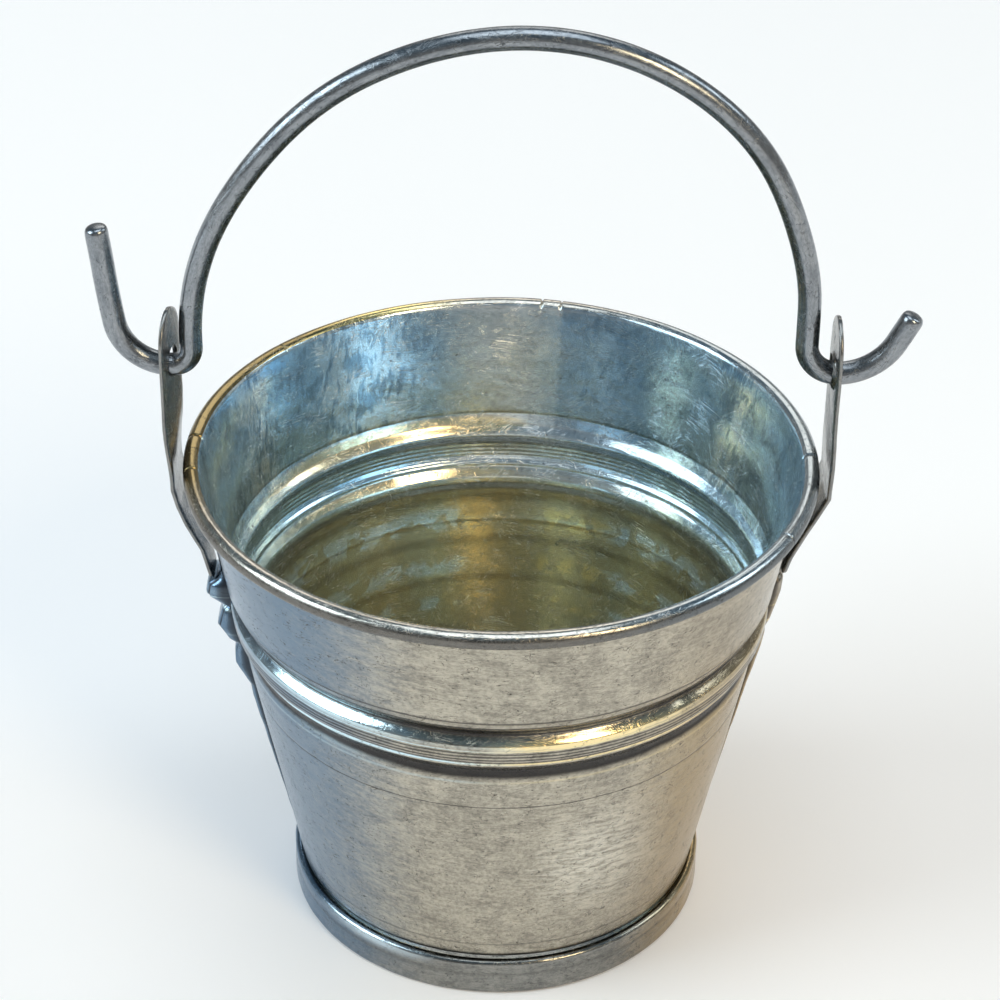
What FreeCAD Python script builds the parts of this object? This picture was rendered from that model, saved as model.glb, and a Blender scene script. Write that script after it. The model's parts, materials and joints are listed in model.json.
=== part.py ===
import FreeCAD, Part
import math
import os

from FreeCAD import Vector

# A small galvanised sheet-steel pail with a round wire bail.
# Millimetres, +Z up, origin at the middle of the base, front towards -Y,
# and the two side seams and ears on the X axis.

# ---- driving dimensions -------------------------------------------------
rim_radius = 30.0          # middle of the rolled rim
rim_height = 50.4          # height of the rolled rim's middle
curl_radius = 0.87         # outer radius of the roll itself
curl_end_angle = -125.0    # where the roll stops, degrees about its own middle
sheet = 0.28               # body sheet

foot_radius = 21.2         # outside of the foot ring
foot_height = 4.1
foot_bend = 0.22           # inside radius of the foot ring's bends
foot_gap = 0.07            # clearance between the folded layers of the foot
flange = 0.35              # width of the wall's turned-out foot, inside the ring
shoulder_height = 6.3      # where the tapered wall meets the short foot shoulder
shoulder_inset = 0.36      # shoulder to the outside of the foot ring
joggle_rise = 0.35         # height over which the wall steps in to pass the lip
floor_height = 3.2         # upper face of the floor

# swaged groove and ridge round the wall: height of each point from the crest
# of the ridge, and how far the wall stands out there from its plain taper
bead_drop = 15.6           # crest of the ridge, below the middle of the rim
bead_shape = [(4.1, 0.0), (3.0, -0.22), (1.95, -0.62), (1.3, -0.42), (0.7, 0.14), (0.0, 0.33),
              (-1.1, 0.3), (-1.8, 0.04), (-2.6, -0.3), (-3.6, -0.3), (-5.2, 0.0)]

# folded side seams
seam_foot_gap = 0.3        # lower end of the seam, above the shoulder
seam_rim_gap = 1.6         # upper end of the seam, below the middle of the rim
seam_half = 5.2            # half width, degrees about Z
seam_fold = 0.75           # thickness of a folded edge, degrees
seam_slack = 0.25          # clearance at a folded edge, degrees
seam_gap = 0.07            # clearance between the layers
cover_rise = 5.4           # the outer layer ends here above the crest, where the ear comes out
pocket_drop = 1.8          # bottom of the ear's pocket, below the crest
butt_gap = 0.1             # half the gap between the two rims, degrees

# ears: heights are from the middle of the rim
ear_sheet = 0.42
ear_rim_gap = 0.54         # rolled rim to the ear's plate
ear_tip_rise = 16.2
ear_half_width = 3.2
ear_hole_rise = 10.8
ear_straight_rise = 6.6    # the straight strap starts to widen here
ear_wide_rise = 0.6        # and reaches its full width here
ear_wide_half = 4.4
ear_bend_drop = 5.4        # the plate turns in towards the seam here, below the rim
ear_narrow_gap = 1.0       # above that bend, the plate starts to narrow to its tail
ear_gap = 0.07             # clearance of the tail in its pocket
ear_side_slack = 0.55      # and beside it, degrees
ear_lap = 0.6              # the tail's stretch that stands out of the pocket
ear_join = 0.1             # the plate runs into the tail this far above the pocket

# bail
wire_radius = 1.12
pin_play = 0.78            # the ear's hole is this much larger in radius
pin_rest_gap = 0.1         # wire to the bottom of the ear's hole
left_leg_inset = 2.72      # middle of the leg, inside the middle of the ear's plate
right_leg_inset = 2.92
leg_rise = 4.18            # from the pin to where the left leg springs into its arc
crown_shift = 1.0          # the crown is a little off the middle
shank_bend = 2.0           # from leg to pin
hook_overhang = 6.68       # middle of the hooks' tips, outside the middle of the ear's plate
left_hook_bend = 2.2
left_hook_lean = 8.0       # degrees from vertical
left_hook_rise = 13.88     # from the pin to the hook's tip
right_hook_bend = 2.6
right_hook_lean = 27.0
right_hook_rise = 5.68

# ---- worked out from those -----------------------------------------------
roll_inside = curl_radius - sheet
foot_corner = foot_bend + sheet
shoulder_radius = foot_radius - shoulder_inset
span = math.hypot(rim_radius - shoulder_radius, rim_height - shoulder_height)
chord = math.atan2(rim_radius - shoulder_radius, rim_height - shoulder_height)
taper = chord - math.asin(roll_inside / span)
skin = sheet / math.cos(taper)
layer = skin + seam_gap
pocket = ear_sheet + 2 * ear_gap
ring_inside = foot_radius - sheet
wall_foot = ring_inside - foot_bend - flange
crest = rim_height - bead_drop
bead = [(crest + rise, out) for rise, out in bead_shape]
seam_low = shoulder_height + seam_foot_gap
seam_high = rim_height - seam_rim_gap
cover_top = crest + cover_rise
pocket_low = crest - pocket_drop
ear_standoff = rim_radius + curl_radius + ear_rim_gap + ear_sheet / 2
ear_tip = rim_height + ear_tip_rise
ear_bend_height = rim_height - ear_bend_drop
ear_tail_half = seam_half - seam_fold - ear_side_slack
ear_hole_height = rim_height + ear_hole_rise
ear_hole_radius = wire_radius + pin_play
pin_height = ear_hole_height - pin_play + pin_rest_gap
leg_left = ear_standoff - left_leg_inset
leg_right = ear_standoff - right_leg_inset
crown_height = pin_height + leg_rise + leg_left + crown_shift
hook_reach = ear_standoff + hook_overhang
left_hook_tip = pin_height + left_hook_rise
right_hook_tip = pin_height + right_hook_rise
over = 1.0                 # how far cutting shapes run past what they cut
Z_AXIS = Vector(0, 0, 1)
ORIGIN = Vector(0, 0, 0)


def at(radius, height):
    """A point in the XZ plane."""
    return Vector(radius, 0, height)


def plain_radius(height):
    """Outer radius of the tapered wall without its groove and ridge."""
    return shoulder_radius + (height - shoulder_height) * math.tan(taper)


def rounded(points, closed=True):
    """A wire through (x, z, corner radius) points, with an arc at each corner."""
    count = len(points)
    ends = []
    for index, (x, z, radius) in enumerate(points):
        here = at(x, z)
        if radius == 0 or (not closed and index in (0, count - 1)):
            ends.append((here, here, here))
            continue
        before = at(*points[index - 1][:2]) - here
        after = at(*points[(index + 1) % count][:2]) - here
        half = before.getAngle(after) / 2
        before.normalize()
        after.normalize()
        tangent = radius / math.tan(half)
        middle = before + after
        middle.normalize()
        top = here + middle * (radius / math.sin(half) - radius)
        ends.append((here + before * tangent, top, here + after * tangent))
    edges = []
    for index, (first, top, last) in enumerate(ends):
        if (last - first).Length > 1e-6:
            edges.append(Part.Arc(first, top, last).toShape())
        if index < count - 1 or closed:
            following = ends[(index + 1) % count][0]
            if (following - last).Length > 1e-6:
                edges.append(Part.LineSegment(last, following).toShape())
    return Part.Wire(edges)


def wall_side(shift, low, high):
    """Edges up one surface of the wall, moved outwards by shift."""
    straight = Vector(math.sin(taper), 0, math.cos(taper))
    corners = [at(plain_radius(z) + out + shift, z) for z, out in reversed(bead)]
    if low >= bead[0][0] or high <= bead[-1][0]:
        ends = [at(plain_radius(z) + shift, z) for z in (low, high)]
        return [Part.LineSegment(*ends).toShape()]
    curve = Part.BSplineCurve()
    curve.interpolate(Points=corners, InitialTangent=straight, FinalTangent=straight)
    edges = []
    start, end = curve.FirstParameter, curve.LastParameter
    if low > bead[-1][0]:
        start = curve.intersectCC(Part.LineSegment(at(0, low), at(2 * rim_radius, low)))[0]
        start = curve.parameter(Vector(start.X, start.Y, start.Z))
    else:
        edges.append(Part.LineSegment(at(plain_radius(low) + shift, low), corners[0]).toShape())
    if high < bead[0][0]:
        end = curve.intersectCC(Part.LineSegment(at(0, high), at(2 * rim_radius, high)))[0]
        end = curve.parameter(Vector(end.X, end.Y, end.Z))
    edges.append(curve.toShape(start, end))
    if high > bead[0][0]:
        edges.append(Part.LineSegment(corners[-1], at(plain_radius(high) + shift, high)).toShape())
    return edges


def swept(edges, start, end):
    """The closed outline turned about Z from one angle to another, in degrees."""
    ordered = Part.sortEdges(edges)
    if len(ordered) != 1:
        raise ValueError("outline is not one loop")
    face = Part.Face(Part.Wire(ordered[0]))
    turned = face.revolve(ORIGIN, Z_AXIS, end - start)
    turned.rotate(ORIGIN, Z_AXIS, start)
    if turned.Volume < 0:
        turned.reverse()
    return turned


def strip(inner, outer, low, high, start, end):
    """One layer of wall sheet between two shifts, two heights and two angles."""
    sides = [wall_side(inner, low, high), wall_side(outer, low, high)]
    ends = []
    for pick in (0, -1):
        tips = []
        for side in sides:
            vertices = side[pick].Vertexes
            chosen = min if pick == 0 else max
            tips.append(chosen(vertices, key=lambda vertex: vertex.Z).Point)
        ends.append(Part.LineSegment(*tips).toShape())
    return swept(sides[0] + sides[1] + ends, start, end)


def curl_edges():
    """The rolled rim, joined to the wall's two surfaces."""
    middle = at(rim_radius, rim_height)
    arcs = []
    tips = []
    first = math.pi - taper
    last = math.radians(curl_end_angle)
    for radius in (roll_inside, curl_radius):
        points = []
        for share in (0.0, 0.5, 1.0):
            angle = first + (last - first) * share
            points.append(middle + Vector(math.cos(angle), 0, math.sin(angle)) * radius)
        arcs.append(Part.Arc(*points).toShape())
        tips.append(points)
    end = Part.LineSegment(tips[0][2], tips[1][2]).toShape()
    return arcs + [end], tips[0][0], tips[1][0]


def rim_section(low):
    """Outline of the wall from a height up to the end of the rolled rim."""
    roll, outside, inside = curl_edges()
    edges = roll
    for shift, top in ((0.0, outside), (-skin, inside)):
        start = max(low, bead[0][0])
        side = wall_side(shift, low, start) if low < start else []
        base = at(plain_radius(start) + shift, start)
        edges = edges + side + [Part.LineSegment(base, top).toShape()]
    return edges


def foot_points():
    """Outer and inner corners of the wall's foot, from its shoulder down."""
    flange_low = sheet + foot_gap
    flange_edge = ring_inside - foot_bend
    passing = foot_height + foot_gap
    outside = [at(shoulder_radius, shoulder_height),
               at(shoulder_radius, passing + joggle_rise),
               at(wall_foot, passing),
               at(wall_foot, flange_low + sheet),
               at(flange_edge, flange_low + sheet),
               at(flange_edge, flange_low)]
    inside = [at(shoulder_radius - skin, shoulder_height),
              at(shoulder_radius - skin, passing + joggle_rise),
              at(wall_foot - skin, passing),
              at(wall_foot - skin, flange_low)]
    return outside, inside


def foot_edges():
    outside, inside = foot_points()
    loop = outside + list(reversed(inside))
    return [Part.LineSegment(a, b).toShape() for a, b in zip(loop, loop[1:])]


def closing_line(height):
    outside = plain_radius(height)
    return Part.LineSegment(at(outside - skin, height), at(outside, height)).toShape()


def half_shell():
    """The back half of the body, from the +X seam round to the -X seam."""
    open_edge = 180 - seam_half - seam_slack
    far_butt = 180 - butt_gap
    pieces = [swept(rim_section(shoulder_height) + foot_edges(), butt_gap, open_edge)]

    # above and below the seams the two halves meet edge to edge
    top = rim_section(seam_high) + [closing_line(seam_high)]
    pieces.append(swept(top, open_edge, far_butt))
    bottom = foot_edges() + [closing_line(seam_low)]
    for shift in (0.0, -skin):
        rise = [at(plain_radius(z) + shift, z) for z in (shoulder_height, seam_low)]
        bottom.append(Part.LineSegment(*rise).toShape())
    pieces.append(swept(bottom, open_edge, far_butt))

    # inner hook, at the +X seam
    turn = seam_half - seam_fold
    low, high = seam_low + seam_gap, seam_high - seam_gap
    pieces.append(strip(-skin, 0, low, high, -seam_half, butt_gap))
    pieces.append(strip(-skin, 2 * layer, low, high, -seam_half, -turn))
    pieces.append(strip(2 * layer - skin, 2 * layer, low, high, -turn, turn - seam_slack))

    # outer hook, at the -X seam: it wraps the inner hook of the other half
    step = open_edge - seam_fold
    last = 180 + seam_half
    tail = 180 - seam_half + seam_fold + seam_slack
    pieces.append(strip(layer - skin, layer, seam_low, cover_top, tail, last - seam_fold))
    for base, head, cover in ((seam_low, pocket_low, 3 * layer),
                              (pocket_low, cover_top, 3 * layer + pocket)):
        pieces.append(strip(-skin, cover, base, head, step, open_edge))
        pieces.append(strip(cover - skin, cover, base, head, open_edge, last - seam_fold))
        pieces.append(strip(layer - skin, cover, base, head, last - seam_fold, last))
    shelf = strip(3 * layer - skin, 3 * layer + pocket, pocket_low - sheet, pocket_low, step, last)
    pieces.append(shelf)
    shell = pieces[0].multiFuse(pieces[1:])
    return shell.removeSplitter()


def bottom_pan():
    """Floor, skirt and foot ring, pressed from one disc."""
    skirt = wall_foot - skin - foot_gap
    lip = wall_foot + foot_gap
    outline = rounded([(0, floor_height, 0), (skirt, floor_height, sheet), (skirt, sheet, 0),
                       (ring_inside, sheet, foot_bend),
                       (ring_inside, foot_height - sheet, foot_bend),
                       (lip, foot_height - sheet, 0), (lip, foot_height, 0),
                       (foot_radius, foot_height, foot_corner), (foot_radius, 0, foot_corner),
                       (skirt - sheet, 0, 0), (skirt - sheet, floor_height - sheet, 0),
                       (0, floor_height - sheet, 0)])
    return Part.Face(outline).revolve(ORIGIN, Z_AXIS, 360)


def ear():
    """The +X ear: a pierced strap whose tail lies in the seam's pocket."""
    grip = 2 * layer + ear_gap
    tail_top = cover_top + ear_lap
    entry = plain_radius(cover_top) + grip + ear_sheet / 2
    path = [at(ear_standoff, ear_tip + over),
            at(ear_standoff, ear_bend_height),
            at(entry, cover_top + ear_join)]
    thickness = ear_sheet / 2
    slope = (path[1] - path[2]).normalize()
    across = Vector(slope.z, 0, -slope.x)
    bend = math.tan(math.atan2(slope.x, slope.z) / 2) * thickness
    corners = [path[0] + Vector(thickness, 0, 0),
               path[1] + Vector(thickness, 0, -bend),
               path[2] + across * thickness,
               path[2] - across * thickness,
               path[1] + Vector(-thickness, 0, bend),
               path[0] - Vector(thickness, 0, 0)]
    side = Part.Face(Part.makePolygon(corners + [corners[0]]))
    side.translate(Vector(0, -2 * ear_wide_half, 0))
    bent = side.extrude(Vector(0, 4 * ear_wide_half, 0))

    tail_half = plain_radius(cover_top) * math.radians(ear_tail_half)
    tip_middle = ear_tip - ear_half_width
    right = [Vector(0, ear_half_width, tip_middle),
             Vector(0, ear_half_width, rim_height + ear_straight_rise),
             Vector(0, ear_wide_half, rim_height + ear_wide_rise),
             Vector(0, ear_wide_half, ear_bend_height + ear_narrow_gap),
             Vector(0, tail_half, tail_top),
             Vector(0, tail_half, cover_top - over)]
    left = [Vector(0, -point.y, point.z) for point in reversed(right)]
    loop = right + left
    edges = [Part.LineSegment(a, b).toShape() for a, b in zip(loop, loop[1:])]
    edges.append(Part.Arc(left[-1], Vector(0, 0, ear_tip), right[0]).toShape())
    outline = Part.Face(Part.Wire(edges)).extrude(Vector(2 * rim_radius, 0, 0))
    strap = bent.common(outline)
    hole = Part.makeCylinder(ear_hole_radius, 2 * rim_radius, Vector(0, 0, ear_hole_height), Vector(1, 0, 0))
    strap = strap.cut(hole)
    tail = strip(grip, grip + ear_sheet, pocket_low + 2 * ear_gap, tail_top, -ear_tail_half, ear_tail_half)
    return strap.fuse(tail).removeSplitter()


def bail():
    """One round wire: hook, pin, leg, crown, leg, pin, hook."""
    right_arc = leg_right - crown_shift
    left_arc = leg_left + crown_shift
    left_lean = math.tan(math.radians(left_hook_lean))
    right_lean = math.tan(math.radians(right_hook_lean))
    left_foot = -hook_reach + (left_hook_tip - pin_height) * left_lean
    right_foot = hook_reach - (right_hook_tip - pin_height) * right_lean
    springing_left = crown_height - left_arc
    springing_right = crown_height - right_arc
    left = rounded([(-hook_reach, left_hook_tip, 0), (left_foot, pin_height, left_hook_bend),
                    (-leg_left, pin_height, shank_bend), (-leg_left, springing_left, 0)], closed=False)
    right = rounded([(leg_right, springing_right, 0), (leg_right, pin_height, shank_bend),
                     (right_foot, pin_height, right_hook_bend), (hook_reach, right_hook_tip, 0)], closed=False)
    crown = at(crown_shift, crown_height)
    slant = math.sqrt(0.5)
    rise = at(crown_shift - left_arc * slant, springing_left + left_arc * slant)
    fall = at(crown_shift + right_arc * slant, springing_right + right_arc * slant)
    arch = [Part.Arc(at(-leg_left, springing_left), rise, crown).toShape(),
            Part.Arc(crown, fall, at(leg_right, springing_right)).toShape()]
    spine = Part.Wire(Part.sortEdges(left.Edges + arch + right.Edges)[0])
    tips = [(-hook_reach, left_hook_tip, -left_lean), (hook_reach, right_hook_tip, right_lean)]
    start = at(*tips[0][:2])
    outward = Vector(tips[0][2], 0, 1)
    circle = Part.Wire(Part.makeCircle(wire_radius, start, outward))
    wire = spine.makePipeShell([circle], True, False)
    for x, z, _ in tips:
        wire = wire.fuse(Part.makeSphere(wire_radius, at(x, z)))
    return wire.removeSplitter()


def turned_round(shape):
    """A copy turned half a turn about Z."""
    copy = shape.copy()
    copy.rotate(ORIGIN, Z_AXIS, 180)
    return copy


os.makedirs("parts", exist_ok=True)
back_wall = half_shell()
right_ear = ear()
nodes = {
    "back_wall": back_wall,
    "front_wall": turned_round(back_wall),
    "bottom_pan": bottom_pan(),
    "right_ear": right_ear,
    "left_ear": turned_round(right_ear),
    "bail": bail(),
}
for name, shape in nodes.items():
    solids = shape.Solids
    box = shape.BoundBox
    print(name, "solids", len(solids), "valid", shape.isValid(), "volume", round(shape.Volume, 2),
          "x", round(box.XMin, 2), round(box.XMax, 2), "y", round(box.YMin, 2), round(box.YMax, 2),
          "z", round(box.ZMin, 2), round(box.ZMax, 2))
    solids[0].exportStep("parts/" + name + ".step")
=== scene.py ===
import json
import math

import bmesh
import bpy
import numpy as np
from mathutils import Matrix, Vector, noise


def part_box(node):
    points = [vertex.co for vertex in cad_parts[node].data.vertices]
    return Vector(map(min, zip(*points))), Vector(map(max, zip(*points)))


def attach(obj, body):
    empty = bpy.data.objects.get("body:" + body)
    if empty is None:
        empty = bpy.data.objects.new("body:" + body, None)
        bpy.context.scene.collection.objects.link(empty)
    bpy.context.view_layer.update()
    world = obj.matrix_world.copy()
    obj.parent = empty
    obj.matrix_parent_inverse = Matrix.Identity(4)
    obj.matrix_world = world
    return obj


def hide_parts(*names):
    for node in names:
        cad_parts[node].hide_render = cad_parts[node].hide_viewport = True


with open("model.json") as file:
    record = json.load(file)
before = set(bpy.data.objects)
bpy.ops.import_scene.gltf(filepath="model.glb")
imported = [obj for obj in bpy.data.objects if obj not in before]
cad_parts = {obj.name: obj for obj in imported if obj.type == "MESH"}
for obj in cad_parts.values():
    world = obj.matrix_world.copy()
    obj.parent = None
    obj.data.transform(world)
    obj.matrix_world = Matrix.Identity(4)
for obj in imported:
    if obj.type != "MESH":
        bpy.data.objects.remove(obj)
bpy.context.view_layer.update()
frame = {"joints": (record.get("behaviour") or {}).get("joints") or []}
MM = 0.001

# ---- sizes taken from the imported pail, millimetres ------------------------
wall_low, wall_high = [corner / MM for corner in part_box("front_wall")]
pan_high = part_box("bottom_pan")[1] / MM
ear_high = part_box("right_ear")[1] / MM
bail_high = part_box("bail")[1] / MM
pin_height = frame["joints"][0]["pos_m"][2] / MM

sheet = 0.28                                  # thickness of the body's sheet
curl = 0.87                                   # outer radius of the rolled rim
crest_drop = 15.6                             # from the rim down to the ridge's crest
rim_radius = -wall_low.y - curl
rim_height = wall_high.z - curl
foot_radius = pan_high.x
foot_height = pan_high.z
shoulder_height = 6.3                         # where the wall leaves the foot and begins to flare
shoulder_radius = foot_radius - 0.36
roll_inside = curl - sheet
reach = math.hypot(rim_radius - shoulder_radius, rim_height - shoulder_height)
chord = math.atan2(rim_radius - shoulder_radius, rim_height - shoulder_height)
taper = chord - math.asin(roll_inside / reach)
skin = sheet / math.cos(taper)
crest = rim_height - crest_drop
ear_sheet = 0.42                              # thickness of the ears
ear_plane = ear_high.x - ear_sheet / 2
wire = 1.12                                   # radius of the bail's wire
joggle_depth = 0.49                           # how far the wall steps in to enter the foot


# ---- meshes ---------------------------------------------------------------
class Skin:
    """Faces gathered for one piece, each with its place on the flat sheet in millimetres."""

    def __init__(self):
        self.points = []
        self.faces = []
        self.flat = []
        self.finish = []

    def grid(self, points, along, across, close_along=False, close_across=False, finish=None):
        """A grid of points[i][j]. finish gives a material index for each column j."""
        points = np.asarray(points, float)
        rows, columns = points.shape[:2]
        base = len(self.points)
        self.points.extend(points.reshape(-1, 3).tolist())
        for i in range(rows if close_along else rows - 1):
            for j in range(columns if close_across else columns - 1):
                corners = ((i, j), (i + 1, j), (i + 1, j + 1), (i, j + 1))
                self.faces.append([base + (a % rows) * columns + b % columns for a, b in corners])
                self.flat.append([(along[a], across[b]) for a, b in corners])
                self.finish.append(finish[j] if finish else 0)

    def piece(self, name, body, materials, replaces=(), sharp=40):
        mesh = bpy.data.meshes.new(name)
        mesh.from_pydata([Vector(p) * MM for p in self.points], [], self.faces)
        layer = mesh.uv_layers.new(name="flat_sheet")
        layer.uv.foreach_set("vector", np.array(self.flat, np.float32).ravel())
        for material in materials:
            mesh.materials.append(material)
        mesh.polygons.foreach_set("material_index", self.finish)
        work = bmesh.new()
        work.from_mesh(mesh)
        bmesh.ops.remove_doubles(work, verts=work.verts, dist=0.002 * MM)
        bmesh.ops.dissolve_degenerate(work, edges=work.edges, dist=0.0005 * MM)
        bmesh.ops.recalc_face_normals(work, faces=work.faces)
        work.to_mesh(mesh)
        work.free()
        mesh.shade_smooth()
        mesh.set_sharp_from_angle(angle=math.radians(sharp))
        made = bpy.data.objects.new(name, mesh)
        bpy.context.scene.collection.objects.link(made)
        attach(made, body)
        if replaces:
            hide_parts(*replaces)
        return made


def around(angle, radius, height):
    """A point by its angle from the front, towards the right, in radians."""
    return (radius * math.sin(angle), -radius * math.cos(angle), height)


def smooth_step(low, high, value):
    share = min(1.0, max(0.0, (value - low) / (high - low)))
    return share * share * (3 - 2 * share)


def hump(distance, width):
    return math.exp(-((distance / width) ** 2))


# ---- the wall's outline ----------------------------------------------------
# swaged groove, ridge and lower groove: height from the crest, stand-out from
# the taper
bead_points = [(6.0, 0.0), (4.35, 0.0), (4.15, 0.07), (3.9, 0.0), (3.0, -0.2), (2.3, -0.66),
               (2.0, -0.72), (1.75, -0.64), (1.05, 0.18), (0.75, 0.28), (0.0, 0.34), (-0.7, 0.36),
               (-1.15, 0.28), (-1.42, 0.02), (-1.6, 0.0), (-1.8, 0.07), (-2.1, -0.12), (-2.8, -0.42),
               (-3.4, -0.42), (-4.2, -0.1), (-5.2, 0.0), (-7.5, 0.0), (-7.75, -0.05), (-8.0, 0.0),
               (-12.0, 0.0)]
bead_step = 0.05
bead_heights = np.arange(bead_points[-1][0], bead_points[0][0], bead_step)
bead_raw = np.interp(bead_heights, *zip(*reversed(bead_points)))
kernel = np.exp(-((np.arange(-8, 9) * bead_step / 0.13) ** 2))
bead_curve = np.convolve(np.pad(bead_raw, 8, mode="edge"), kernel / kernel.sum(), mode="valid")


def bead(height):
    """Stand-out of the swaged bead, with the fine rings that the roller leaves on the ridge."""
    rise = height - crest
    rings = 0.02 * math.sin(rise * 14.5) * hump(rise + 0.3, 1.2)
    return float(np.interp(rise, bead_heights, bead_curve, left=0, right=0)) + rings


def plain(height):
    return shoulder_radius + (height - shoulder_height) * math.tan(taper)


# dents: angle from the front in degrees, height, width, rise, depth
dents = [(41, 36.6, 1.1, 0.7, -0.16), (37, 31.4, 1.3, 0.8, -0.13), (-24, 32.0, 3.5, 0.8, -0.05),
         (-50, 33.2, 2.2, 0.9, 0.07), (12, 20.0, 6.0, 5.0, -0.07), (-30, 17.0, 6.0, 7.0, 0.08),
         (34, 12.0, 5.0, 5.0, 0.07), (-8, 44.0, 7.0, 2.5, -0.05), (30, 44.5, 5.0, 3.0, 0.05),
         (-66, 13.0, 3.5, 6.0, -0.08), (148, 43.0, 5.0, 4.0, 0.08), (-158, 44.0, 4.0, 4.0, -0.09),
         (-122, 42.0, 4.0, 5.0, 0.1), (118, 44.0, 4.0, 4.0, -0.08), (176, 46.0, 6.0, 2.5, -0.05),
         (160, 22.0, 6.0, 5.0, 0.08), (-150, 18.0, 6.0, 6.0, -0.08), (-100, 45.0, 2.5, 2.0, -0.12),
         (100, 46.0, 3.0, 2.0, 0.08), (-172, 27.0, 8.0, 2.0, 0.05)]


def hand(angle, height):
    """How far handling has pushed the sheet out or in."""
    spot = Vector(around(angle, plain(height), height))
    held = smooth_step(foot_height, 10, height) * (1 - smooth_step(47, rim_height, height))
    push = 0.05 * noise.noise(spot / 8.5) + 0.02 * noise.noise(spot / 3.1)
    push += 0.008 * noise.noise(spot / 1.1)
    for where, middle, width, rise, depth in dents:
        turn = math.remainder(angle - math.radians(where), 2 * math.pi)
        push += depth * hump(turn * plain(height), width) * hump(height - middle, rise)
    return push * held


def rim_sway(angle):
    """The rim's roll is never quite even: how far it is pulled in, and down."""
    inwards = 0.05 + 0.05 * noise.noise(Vector((math.sin(angle), math.cos(angle), 0.3)) * 2.2)
    down = 0.05 + 0.05 * noise.noise(Vector((math.sin(angle), math.cos(angle), 5.3)) * 3.0)
    return inwards, down


# splits in the roll: angle from the front in degrees, depth
splits = [(172.2, 0.22), (168.3, 0.16), (-94.5, 0.2), (-83.0, 0.22), (90.6, 0.2), (-131.0, 0.08),
          (63.0, 0.08)]
split_width = 0.09

heights = sorted(set(np.round(np.concatenate([
    [4.3, 4.5, 4.7, 4.95, 5.2, 5.6, 6.0, 6.25, 6.5, 6.8],
    np.arange(7.2, crest - 8.6, 0.85), np.arange(crest - 8.6, crest - 6.9, 0.16),
    np.arange(crest - 6.9, crest - 5.0, 0.3), np.arange(crest - 5.0, crest + 5.0, 0.1),
    np.arange(crest + 5.0, rim_height - 0.9, 0.6)]), 3)))
roll_steps = 30
roll_end = math.radians(-125)
roll_start = math.pi - taper


def wall_column(angle):
    """Outer and inner points up one line of the wall, round the roll to its end."""
    outside, inside = [], []
    pulled, dropped = rim_sway(angle)
    for height in heights:
        joggle = joggle_depth * (1 - smooth_step(foot_height - 0.1, foot_height + 0.55, height))
        radius = plain(height) + bead(height) + hand(angle, height) - joggle
        radius -= pulled * smooth_step(40, rim_height, height)
        outside.append((radius, height))
        inside.append((radius - skin, height))
    split = max(deep * hump(math.remainder(angle - math.radians(where), 2 * math.pi) * rim_radius,
                            split_width) for where, deep in splits)
    for step in range(roll_steps + 1):
        turn = roll_start + (roll_end - roll_start) * step / roll_steps
        lumps = 0.012 * noise.noise(Vector((angle * 9, turn * 1.2, 3)))
        ease = smooth_step(0, 3, step)
        for side, radius in ((outside, roll_inside), (inside, curl - 0.03 + (lumps - split) * ease)):
            side.append((rim_radius - pulled + math.cos(turn) * radius,
                         rim_height - dropped + math.sin(turn) * radius))
    return outside, inside


def half_wall(name, start, end, replaces):
    """One half of the body between two angles, in degrees."""
    angles = set(np.linspace(start, end, 241).round(4))
    for where, _ in splits:
        for off in (-0.34, -0.24, -0.17, -0.1, -0.05, 0, 0.05, 0.1, 0.17, 0.24, 0.34):
            for turn in (-360, 0, 360):
                if start < where + off + turn < end:
                    angles.add(round(where + off + turn, 4))
    angles = [math.radians(a) for a in sorted(angles)]
    rows, caps = [], {}
    for index, angle in enumerate(angles):
        outside, inside = wall_column(angle)
        rows.append([around(angle, *p) for p in outside + inside[::-1]])
        if index in (0, len(angles) - 1):
            caps[index] = [[around(angle, *p) for p in side] for side in (outside, inside)]
    outline = outside + inside[::-1]
    lengths = [0.0]
    for a, b in zip(outline, outline[1:] + outline[:1]):
        lengths.append(lengths[-1] + math.dist(a, b))
    walls = len(heights)
    rolled = roll_steps + 1
    inner_side = 4                            # the roll's steps that have the inside's finish
    finish = [0] * (walls - 1) + [1] * (2 * rolled + 1 - inner_side)
    finish += [2] * (walls - 1 + inner_side) + [0]
    skin_made = Skin()
    skin_made.grid(rows, [a * rim_radius for a in angles], lengths, close_across=True, finish=finish)
    for sides in caps.values():
        skin_made.grid(sides, [0, sheet], lengths)
    return skin_made.piece(name, "pail", [outside_zinc, rim_zinc, inside_zinc], replaces)


# ---- seams -----------------------------------------------------------------
# the outer layer's half width and height over the taper, and where it is pinched
cover_left = [(37.6, 1.9, 0.9), (37.0, 2.2, 1.2), (36.4, 2.5, 2.3), (35.2, 2.6, 2.75), (34.2, 2.3, 1.8),
              (33.6, 2.0, 1.1), (33.0, 2.2, 1.7), (31.4, 2.55, 2.5), (29.8, 2.35, 1.9), (29.0, 2.1, 1.1),
              (28.2, 2.25, 1.5), (26.6, 2.5, 1.8), (24.8, 2.4, 1.2), (24.0, 2.25, 0.9), (22.5, 2.35, 1.0),
              (16.0, 2.3, 0.7), (9.0, 2.3, 0.34), (6.2, 2.2, 0.2)]
cover_right = [(38.3, 1.9, 0.75), (37.9, 2.3, 1.1), (36.5, 2.6, 1.25), (35.0, 2.6, 1.2), (33.4, 2.5, 1.1),
               (32.0, 2.15, 0.8), (31.2, 2.3, 0.95), (29.5, 2.4, 1.0), (27.0, 2.4, 0.85),
               (22.5, 2.35, 0.65), (16.0, 2.3, 0.45), (9.0, 2.3, 0.28), (6.2, 2.2, 0.18)]
slits = {"left": [(26.2, 1.3), (19.0, 1.2), (10.0, 0.9)], "right": [(34.6, 1.2), (30.8, 0.9)]}


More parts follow.
